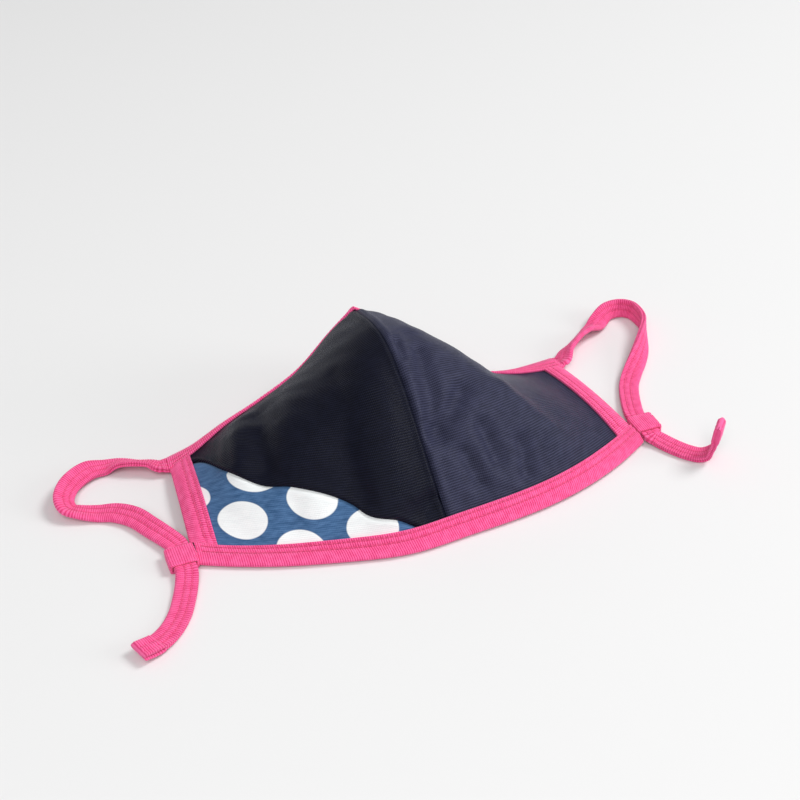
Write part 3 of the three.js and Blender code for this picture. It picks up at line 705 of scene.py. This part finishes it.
def strap_frames(stops, step):
    """Evenly spaced centres along the route, with the strap's width and thickness directions."""
    p = stops[:, :3]
    ends = np.vstack([2 * p[0] - p[1], p, 2 * p[-1] - p[-2]])
    dense, rolls = [], []
    for i in range(len(p) - 1):
        p0, p1, p2, p3 = ends[i:i + 4]
        gaps = [max(np.linalg.norm(b - a) ** 0.5, 1e-4) for a, b in ((p0, p1), (p1, p2), (p2, p3))]
        t1 = ((p1 - p0) / gaps[0] - (p2 - p0) / (gaps[0] + gaps[1]) + (p2 - p1) / gaps[1]) * gaps[1]
        t2 = ((p2 - p1) / gaps[1] - (p3 - p1) / (gaps[1] + gaps[2]) + (p3 - p2) / gaps[2]) * gaps[1]
        t = np.linspace(0, 1, 40, endpoint=False)[:, None]
        dense.append(cubic(t, p1, t1, p2, t2))
        rolls.append(stops[i, 3] + (stops[i + 1, 3] - stops[i, 3]) * t[:, 0])
    dense = np.vstack(dense + [p[-1:]])
    rolls = np.concatenate(rolls + [stops[-1:, 3]])
    lengths = run_lengths(dense)
    along = np.linspace(0, lengths[-1], int(lengths[-1] / step) + 1)
    centre = np.stack([np.interp(along, lengths, dense[:, k]) for k in range(3)], 1)
    roll = np.interp(along, lengths, rolls)
    kernel = np.hanning(int(8 / step) | 1)
    kernel /= kernel.sum()
    padded = np.pad(roll, len(kernel) // 2, mode="edge")
    roll = np.radians(np.convolve(padded, kernel, mode="valid"))
    ahead = np.gradient(centre, axis=0)
    ahead /= np.linalg.norm(ahead, axis=1, keepdims=True)
    wide = np.stack([-ahead[:, 1], ahead[:, 0], 0 * ahead[:, 0]], 1)
    wide /= np.linalg.norm(wide, axis=1, keepdims=True)
    lift = np.cross(ahead, wide)
    wide = wide * np.cos(roll)[:, None] + lift * np.sin(roll)[:, None]
    thick = np.cross(ahead, wide)
    return along, centre, wide, thick


def strap_profile():
    """The folded strap's section: place across, height, relief weight.

    The fold is at the low side, and the two raw edges show as a slit at the high side.
    """
    half, thick = STRAP_WIDTH / 2, STRAP_THICK / 2
    face = list(np.arange(half - 0.3, -half + 1.0, -PROFILE_STEP))
    upper = [(w, thick, 1.0) for w in face]
    turn = [(-half + thick - thick * math.cos(a), thick * math.sin(a), 1.0)
            for a in np.radians(np.linspace(70, -70, 7))]
    lower = [(w, -thick, 1.0) for w in face[::-1]]
    slit = [(half, -thick + 0.35, 0.2), (half - 0.1, -0.22, 0.0), (half - 1.3, 0.0, 0.0),
            (half - 0.1, 0.22, 0.0), (half, thick - 0.35, 0.2)]
    return np.array(upper + turn + lower + slit)


def strap_relief(w, along):
    ribs = RIB_HEIGHT * np.sin(2 * math.pi * along / RIB_PITCH)
    groove = np.zeros(np.broadcast(w, along).shape)
    hole = (along / STITCH_PITCH) % 1 - 0.5
    for row in STRAP_ROWS:
        pit = 0.42 * np.exp(-((w - row) / 0.36)**2) * np.exp(-(hole * STITCH_PITCH / 0.34)**2)
        groove -= 0.14 * np.exp(-((w - row) / 0.55)**2) + pit
    crown = 0.10 * np.exp(-((w - 0.9) / 0.9)**2) + 0.14 * np.exp(-((w + 2.9) / 1.3)**2)
    return ribs + groove + crown


def ear_strap(name, half, nodes, shape, material):
    """The strap from the top tape, round the loop and through its keeper to the hemmed tail."""
    along, centre, wide, thick = strap_frames(strap_route(half, *shape), SAMPLE_STEP)
    profile = strap_profile()
    w, h, weight = profile.T
    total = along[-1]
    relief = strap_relief(w[None, :], along[:, None]) * weight
    height = h[None, :] + np.sign(h)[None, :] * relief
    to_end = total - along[:, None]
    hem = 1 - smooth((to_end - HEM_LENGTH) / 0.9)
    swell = (HEM_SWELL - 1) * STRAP_THICK
    height = height + hem * np.where(h > 0, swell / 2, -swell / 2)[None, :]
    round_end = np.sqrt(np.clip(1 - ((1.6 - np.minimum(to_end, 1.6)) / 1.6)**2, 0.02, 1))
    height = height * round_end
    begin = smooth(along[:, None] / 12)
    width = np.broadcast_to(w[None, :], height.shape) * (1 + (TAPE_WIDTH / STRAP_WIDTH - 1) * (1 - begin))
    rows = centre[:, None] + wide[:, None] * width[:, :, None] + thick[:, None] * height[:, :, None]
    rows[:, :, 2] = np.maximum(rows[:, :, 2], TABLE_CLEARANCE)
    around = run_lengths(np.stack([w, h], 1))
    flat = np.stack(np.broadcast_arrays(along[:, None], around[None, :]), 2)
    piece = ring_body(name, rows, flat, material, nodes)
    lines = []
    for row in STRAP_ROWS:
        for sign in (1, -1):
            def line(places, row=row, sign=sign):
                at = [np.stack([np.interp(places, along, part[:, k]) for k in range(3)], 1)
                      for part in (centre, wide, thick)]
                out = at[0] + at[1] * row + at[2] * sign * (STRAP_THICK / 2 - 0.1)
                return out, at[2] * sign

            lines.append((line, 1.0, total - HEM_LENGTH - 1))
    return piece, lines


def strap_keeper(name, half, nodes, material):
    """A loop of ribbed tape round the strap at the chin corner."""
    x0 = half.side * half.keeper_x()
    inner_w, inner_h = STRAP_WIDTH / 2 + KEEPER_CLEARANCE, STRAP_THICK / 2 + KEEPER_CLEARANCE
    mid_z = KEEPER_WALL + inner_h
    angles = np.linspace(0, 2 * math.pi, 120, endpoint=False)

    def oval(half_w, half_h, power=0.22):
        c, s = np.cos(angles), np.sin(angles)
        return np.stack([half_w * np.sign(c) * np.abs(c)**power, half_h * np.sign(s) * np.abs(s)**power], 1)

    inner, outer = oval(inner_w, inner_h), oval(inner_w + KEEPER_WALL, inner_h + KEEPER_WALL)
    front, back = half.keeper_front, half.keeper_front + KEEPER_LENGTH
    depth = np.linspace(front, back, 45)
    loop = run_lengths(np.vstack([outer, outer[:1]]))[:-1]
    rows = []
    for k in range(len(angles)):
        ring = []
        direction = (outer[k] - inner[k]) / np.linalg.norm(outer[k] - inner[k])
        for y in depth:
            edge = min(y - front, back - y)
            puff = 0.10 * math.sin(2 * math.pi * y / RIB_PITCH) - 0.35 * math.exp(-(edge / 0.5)**2)
            puff -= 0.25 * math.exp(-((edge - 1.9) / 0.4)**2)
            ring.append((outer[k][0] + direction[0] * puff, y, outer[k][1] + direction[1] * puff))
        for y in depth[::-1][::4]:
            ring.append((inner[k][0], y, inner[k][1]))
        rows.append([(x0 + x, y, max(mid_z + z, TABLE_CLEARANCE)) for x, y, z in ring])
    rows = np.array(rows)
    across = np.concatenate([depth, depth[::-1][::4]])
    flat = np.stack(np.broadcast_arrays(loop[:, None], across[None, :]), 2)
    return ring_body(name, rows, flat, material, nodes, wrap_ends=True)


def stitch_piece(name, lines, material):
    """Every stitch of some rows, each a short arched thread, joined in one mesh."""
    points, faces = [], []
    arch, sides = 6, 5
    angles = np.linspace(0, 2 * math.pi, sides, endpoint=False)
    for line, low, high in lines:
        first = math.ceil(low / STITCH_PITCH) * STITCH_PITCH
        starts = np.arange(first, high - STITCH_PITCH, STITCH_PITCH)
        middle = starts + STITCH_PITCH / 2
        share = np.linspace(-0.5, 0.5, arch)
        places = (starts[:, None] + STITCH_PITCH * (share[None, :] + 1.0)).ravel()
        spot, normal = line(places)
        ahead = np.gradient(spot.reshape(len(middle), arch, 3), axis=1)
        ahead /= np.linalg.norm(ahead, axis=2, keepdims=True)
        normal = normal.reshape(len(middle), arch, 3)
        aside = np.cross(ahead, normal)
        rise = 0.13 - 0.55 * (2 * np.abs(share))**4
        centre = spot.reshape(len(middle), arch, 3) + normal * rise[None, :, None]
        radius = THREAD / 2 * np.clip(1.15 - (2 * np.abs(share))**6, 0.5, 1)
        ring = centre[:, :, None] + radius[None, :, None, None] * (
            aside[:, :, None] * np.cos(angles)[None, None, :, None] * 1.2
            + normal[:, :, None] * np.sin(angles)[None, None, :, None])
        for stitch in ring:
            start = len(points)
            points.extend(stitch.reshape(-1, 3).tolist())
            faces.extend(grid_faces(arch, sides, start, wrap=True, flip=True))
            faces.append(tuple(start + j for j in range(sides)))
            faces.append(tuple(start + (arch - 1) * sides + j for j in range(sides - 1, -1, -1)))
    points = np.array(points)
    points[:, 2] = np.maximum(points[:, 2], 0.03)
    return make_piece(name, points, faces, material)


class Nodes:
    """A small helper that builds a material's node tree."""

    def __init__(self, name):
        self.material = bpy.data.materials.new(name)
        self.material.use_nodes = True
        self.tree = self.material.node_tree
        self.shader = self.tree.nodes["Principled BSDF"]

    def add(self, kind, **values):
        node = self.tree.nodes.new(kind)
        for key, value in values.items():
            setattr(node, key, value)
        return node

    def link(self, source, target):
        self.tree.links.new(source, target)

    def math(self, operation, a, b=None, c=None):
        node = self.add("ShaderNodeMath", operation=operation)
        for socket, value in zip(node.inputs, (a, b, c)):
            if value is None:
                continue
            if isinstance(value, (int, float)):
                socket.default_value = value
            else:
                self.link(value, socket)
        return node.outputs[0]

    def flat(self):
        """The place on the flat cloth, in millimetres: two sockets."""
        place = self.add("ShaderNodeUVMap", uv_map="flat").outputs[0]
        split = self.add("ShaderNodeSeparateXYZ")
        self.link(place, split.inputs[0])
        x, y = (self.math("MULTIPLY", split.outputs[k], 1000.0) for k in (0, 1))
        return place, x, y

    def noise(self, place, scale, detail=2.0, rough=0.5):
        node = self.add("ShaderNodeTexNoise")
        node.inputs["Scale"].default_value = scale
        node.inputs["Detail"].default_value = detail
        node.inputs["Roughness"].default_value = rough
        self.link(place, node.inputs["Vector"])
        return node.outputs["Fac"]

    def ramp(self, value, low, high, dark, light):
        """A colour between dark and light as value goes from low to high."""
        span = self.add("ShaderNodeMapRange")
        span.inputs["From Min"].default_value = low
        span.inputs["From Max"].default_value = high
        self.link(value, span.inputs["Value"])
        mix = self.add("ShaderNodeMix", data_type="RGBA")
        mix.inputs["A"].default_value = (*dark, 1)
        mix.inputs["B"].default_value = (*light, 1)
        self.link(span.outputs[0], mix.inputs["Factor"])
        return mix.outputs["Result"]

    def mixed(self, factor, a, b):
        mix = self.add("ShaderNodeMix", data_type="RGBA")
        self.link(factor, mix.inputs["Factor"])
        for value, socket in ((a, "A"), (b, "B")):
            if isinstance(value, tuple):
                mix.inputs[socket].default_value = (*value, 1)
            else:
                self.link(value, mix.inputs[socket])
        return mix.outputs["Result"]

    def bump(self, height, distance, strength=1.0):
        node = self.add("ShaderNodeBump")
        node.inputs["Strength"].default_value = strength
        node.inputs["Distance"].default_value = distance
        self.link(height, node.inputs["Height"])
        self.link(node.outputs[0], self.shader.inputs["Normal"])

    def finish(self, roughness, sheen=0.0, sheen_rough=0.4, tint=(1, 1, 1), specular=0.3):
        self.shader.inputs["Roughness"].default_value = roughness
        self.shader.inputs["Specular IOR Level"].default_value = specular
        self.shader.inputs["Sheen Weight"].default_value = sheen
        self.shader.inputs["Sheen Roughness"].default_value = sheen_rough
        self.shader.inputs["Sheen Tint"].default_value = (*tint, 1)
        return self.material


def knit_height(n, x, y, course, wale, waver):
    """Height of a fine knit: courses across the cloth, made of small loops side by side."""
    bent = n.math("MULTIPLY_ADD", waver, 0.9, y)
    rows = n.math("SINE", n.math("MULTIPLY", bent, 2 * math.pi / course))
    loops = n.math("SINE", n.math("MULTIPLY", x, 2 * math.pi / wale))
    return n.math("MULTIPLY_ADD", loops, 0.35, rows)


def navy_knit(name, dark, light):
    n = Nodes(name)
    place, x, y = n.flat()
    waver = n.noise(place, 60.0, 2.0)
    height = knit_height(n, x, y, 1.15, 0.75, waver)
    fuzz = n.noise(place, 1400.0, 3.0, 0.6)
    total = n.math("MULTIPLY_ADD", fuzz, 0.8, height)
    n.bump(total, 0.00009, 0.8)
    cloud = n.math("MULTIPLY_ADD", n.noise(place, 220.0, 3.0), 0.4, 0.3)
    # The colour mixes a random mottle with painted shade: the knit's loop hollows are painted darker and its
    # crests lighter
    shade = n.math("MULTIPLY_ADD", height, 0.2, cloud)
    colour = n.ramp(shade, 0.2, 0.85, dark, light)
    n.link(colour, n.shader.inputs["Base Color"])
    return n.finish(0.42, sheen=0.03, sheen_rough=0.3, tint=(0.5, 0.55, 0.9), specular=0.09)


DOT_ORIGIN = (87.5, 24.2)
DOT_STEP_A = (-32.5, 6.2)
DOT_STEP_B = (-22.2, -15.8)
DOT_RADIUS = 11.0
# The jersey is pulled sideways, which makes the dots wider than high
DOT_SQUASH = 1.2
DOT_LIMIT = (88.5, 49.5)


def dotted_knit():
    n = Nodes("dotted_knit")
    place, x, y = n.flat()
    (ax, ay), (bx, by) = DOT_STEP_A, DOT_STEP_B
    # The two shortest steps of the lattice are B and A less B
    cx, cy = ax - bx, ay - by
    area = bx * cy - by * cx
    wobble = n.math("MULTIPLY_ADD", n.noise(place, 90.0, 2.0), 1.0, -0.5)
    px = n.math("ADD", n.math("SUBTRACT", x, DOT_ORIGIN[0]), wobble)
    py = n.math("SUBTRACT", y, DOT_ORIGIN[1])

    def crossed(ax, ay, bx, by):
        return n.math("SUBTRACT", n.math("MULTIPLY", ax, by), n.math("MULTIPLY", ay, bx))

    def summed(a, by_a, b, by_b):
        return n.math("ADD", n.math("MULTIPLY", a, by_a), n.math("MULTIPLY", b, by_b))

    along_b = n.math("DIVIDE", crossed(px, py, cx, cy), area)
    along_c = n.math("DIVIDE", crossed(py, px, by, bx), area)
    off_b = n.math("SUBTRACT", along_b, n.math("ROUND", along_b))
    off_c = n.math("SUBTRACT", along_c, n.math("ROUND", along_c))
    dx = summed(off_b, bx, off_c, cx)
    dy = n.math("MULTIPLY", summed(off_b, by, off_c, cy), DOT_SQUASH)
    away = n.math("SQRT", summed(dx, dx, dy, dy))
    edge = n.add("ShaderNodeMapRange")
    edge.inputs["From Min"].default_value = DOT_RADIUS - 0.25
    edge.inputs["From Max"].default_value = DOT_RADIUS + 0.25
    n.link(away, edge.inputs["Value"])
    height = knit_height(n, x, y, 0.9, 0.7, n.noise(place, 60.0, 2.0))
    streak = n.add("ShaderNodeMapping")
    streak.inputs["Scale"].default_value = (1.0, 3.5, 1.0)
    n.link(place, streak.inputs["Vector"])
    # A random streaky mottle plus a little painted shade: the knit's loop hollows are painted darker
    mottle_and_knit_shade = n.math("MULTIPLY_ADD", height, 0.06, n.noise(streak.outputs[0], 170.0, 4.0, 0.6))
    blue = n.ramp(mottle_and_knit_shade, 0.3, 0.7, (0.026, 0.085, 0.200), (0.080, 0.180, 0.36))
    white = n.ramp(mottle_and_knit_shade, 0.25, 0.75, (0.84, 0.87, 0.88), (0.93, 0.95, 0.95))
    # The upper outer corner of the insert has no dot
    bare = n.math("MULTIPLY", n.math("GREATER_THAN", y, DOT_LIMIT[1]),
                  n.math("GREATER_THAN", x, DOT_LIMIT[0]))
    n.link(n.mixed(n.math("MAXIMUM", edge.outputs[0], bare), white, blue), n.shader.inputs["Base Color"])
    n.bump(height, 0.00005, 0.6)
    return n.finish(0.8, sheen=0.1, sheen_rough=0.5, specular=0.25)


def pink_tape(name, dark, light):
    n = Nodes(name)
    place, x, y = n.flat()
    waver = n.noise(place, 200.0, 2.0)
    loops = n.math("SINE", n.math("MULTIPLY", n.math("MULTIPLY_ADD", waver, 0.5, y), 2 * math.pi / 0.8))
    ribs = n.math("SINE", n.math("MULTIPLY", x, 2 * math.pi / RIB_PITCH))
    fuzz = n.noise(place, 1800.0, 3.0, 0.6)
    height = n.math("MULTIPLY_ADD", fuzz, 0.7, n.math("MULTIPLY", loops, 0.4))
    n.bump(height, 0.00008, 0.7)
    # Painted shade over a random mottle: the rib troughs are painted darker and the rib crests lighter
    shade = n.math("MULTIPLY_ADD", ribs, 0.36, n.noise(place, 300.0, 3.0))
    n.link(n.ramp(shade, 0.15, 0.85, dark, light), n.shader.inputs["Base Color"])
    return n.finish(0.85, sheen=0.3, sheen_rough=0.5, tint=(1.0, 0.75, 0.85), specular=0.2)


def add_camera():
    look = metres([LOOK_AT])[0]
    back = np.array([-math.sin(CAMERA_TURN) * math.cos(CAMERA_ELEVATION),
                     -math.cos(CAMERA_TURN) * math.cos(CAMERA_ELEVATION), math.sin(CAMERA_ELEVATION)])
    data = bpy.data.cameras.new("camera")
    data.lens, data.sensor_width = LENS, 36.0
    data.clip_start = 0.01
    camera = bpy.data.objects.new("camera", data)
    camera.location = look + back * CAMERA_DISTANCE / 1000
    camera.rotation_euler = Vector(-back).to_track_quat("-Z", "Y").to_euler()
    bpy.context.scene.collection.objects.link(camera)
    bpy.context.scene.camera = camera


def add_floor():
    n = Nodes("floor")
    n.shader.inputs["Base Color"].default_value = (0.80, 0.80, 0.80, 1)
    n.finish(0.9, specular=0.1)
    mesh = bpy.data.meshes.new("floor")
    size = 4.0
    corners = [(-size, -size, 0), (size, -size, 0), (size, size, 0), (-size, size, 0)]
    mesh.from_pydata(corners, [], [(0, 1, 2, 3)])
    mesh.materials.append(n.material)
    floor = bpy.data.objects.new("floor", mesh)
    floor.location.z = -0.0002
    bpy.context.scene.collection.objects.link(floor)


def add_light(name, place, target, size, power, colour=(1, 1, 1)):
    data = bpy.data.lights.new(name, "AREA")
    data.shape = "DISK"
    data.size, data.energy, data.color = size, power, colour
    light = bpy.data.objects.new(name, data)
    light.location = place
    light.rotation_euler = (Vector(target) - Vector(place)).to_track_quat("-Z", "Y").to_euler()
    bpy.context.scene.collection.objects.link(light)


def add_lights():
    world = bpy.data.worlds.new("world")
    world.use_nodes = True
    world.node_tree.nodes["Background"].inputs["Color"].default_value = (1, 1, 1, 1)
    world.node_tree.nodes["Background"].inputs["Strength"].default_value = 0.37
    bpy.context.scene.world = world
    add_light("key", (2.2, -0.1, 2.7), (0, 0, 0), 1.4, 62.0)
    add_light("side", (1.4, -0.8, 0.55), (0, 0, 0), 0.8, 7.0)
    add_light("fill", (-0.9, -1.6, 2.2), (0, 0, 0), 1.6, 34.0)
    bpy.context.scene.view_settings.view_transform = "Standard"


add_camera()
# Lit and shaded copies of one navy knit: the right half is painted lighter, as lit, and the left half
# darker, as in shade
NAVY_LEFT_PAINTED_SHADE = navy_knit("navy_knit_left_painted_shade", (0.002, 0.0022, 0.0055), (0.009, 0.0105, 0.025))
NAVY_RIGHT_PAINTED_LIGHT = navy_knit("navy_knit_right_painted_light", (0.013, 0.014, 0.028), (0.056, 0.059, 0.112))
DOTTED_MATERIAL = dotted_knit()
TAPE_MATERIAL = pink_tape("pink_tape", (0.72, 0.040, 0.175), (1.0, 0.150, 0.39))
# The thread is painted a little darker than the tape, as the shade in its stitch rows
THREAD_MATERIAL = pink_tape("pink_thread", (0.66, 0.05, 0.17), (0.90, 0.11, 0.30))

PANELS = [right_cloth(NAVY_RIGHT_PAINTED_LIGHT), left_cloth(NAVY_LEFT_PAINTED_SHADE), insert_cloth(DOTTED_MATERIAL)]
chin, chin_lines = edge_tape("tape_chin", ["chin_binding"], lambda half, a, inset: inset,
                             lambda half: 1 - (half.keeper_inset - SEWN_IN) / half.chin, TAPE_MATERIAL)
top, top_lines = edge_tape("tape_top", ["top_binding"],
                           lambda half, a, inset: half.length(a)[:, None] - inset,
                           lambda half: 1.0, TAPE_MATERIAL)
_, side_left_lines = side_tape("tape_side_left", LEFT, ["side_binding_left"], TAPE_MATERIAL)
_, side_right_lines = side_tape("tape_side_right", RIGHT, ["side_binding_right"], TAPE_MATERIAL)
LEFT_ROUTE = (LEFT_LOOP, LEFT_LOOP_REACH, LEFT_TAIL, LEFT_TAIL_REACH)
RIGHT_ROUTE = (RIGHT_LOOP, RIGHT_LOOP_REACH, RIGHT_TAIL, RIGHT_TAIL_REACH, RIGHT_TURN)
_, strap_left_lines = ear_strap("strap_left", LEFT, ["ear_strap_left"], LEFT_ROUTE, TAPE_MATERIAL)
_, strap_right_lines = ear_strap("strap_right", RIGHT, ["ear_strap_right"], RIGHT_ROUTE, TAPE_MATERIAL)
strap_keeper("keeper_left", LEFT, ["strap_keeper_left"], TAPE_MATERIAL)
strap_keeper("keeper_right", RIGHT, ["strap_keeper_right"], TAPE_MATERIAL)
stitch_piece("stitches_tape", chin_lines + top_lines + side_left_lines + side_right_lines,
             THREAD_MATERIAL)
stitch_piece("stitches_straps", strap_left_lines + strap_right_lines, THREAD_MATERIAL)

add_floor()
add_lights()
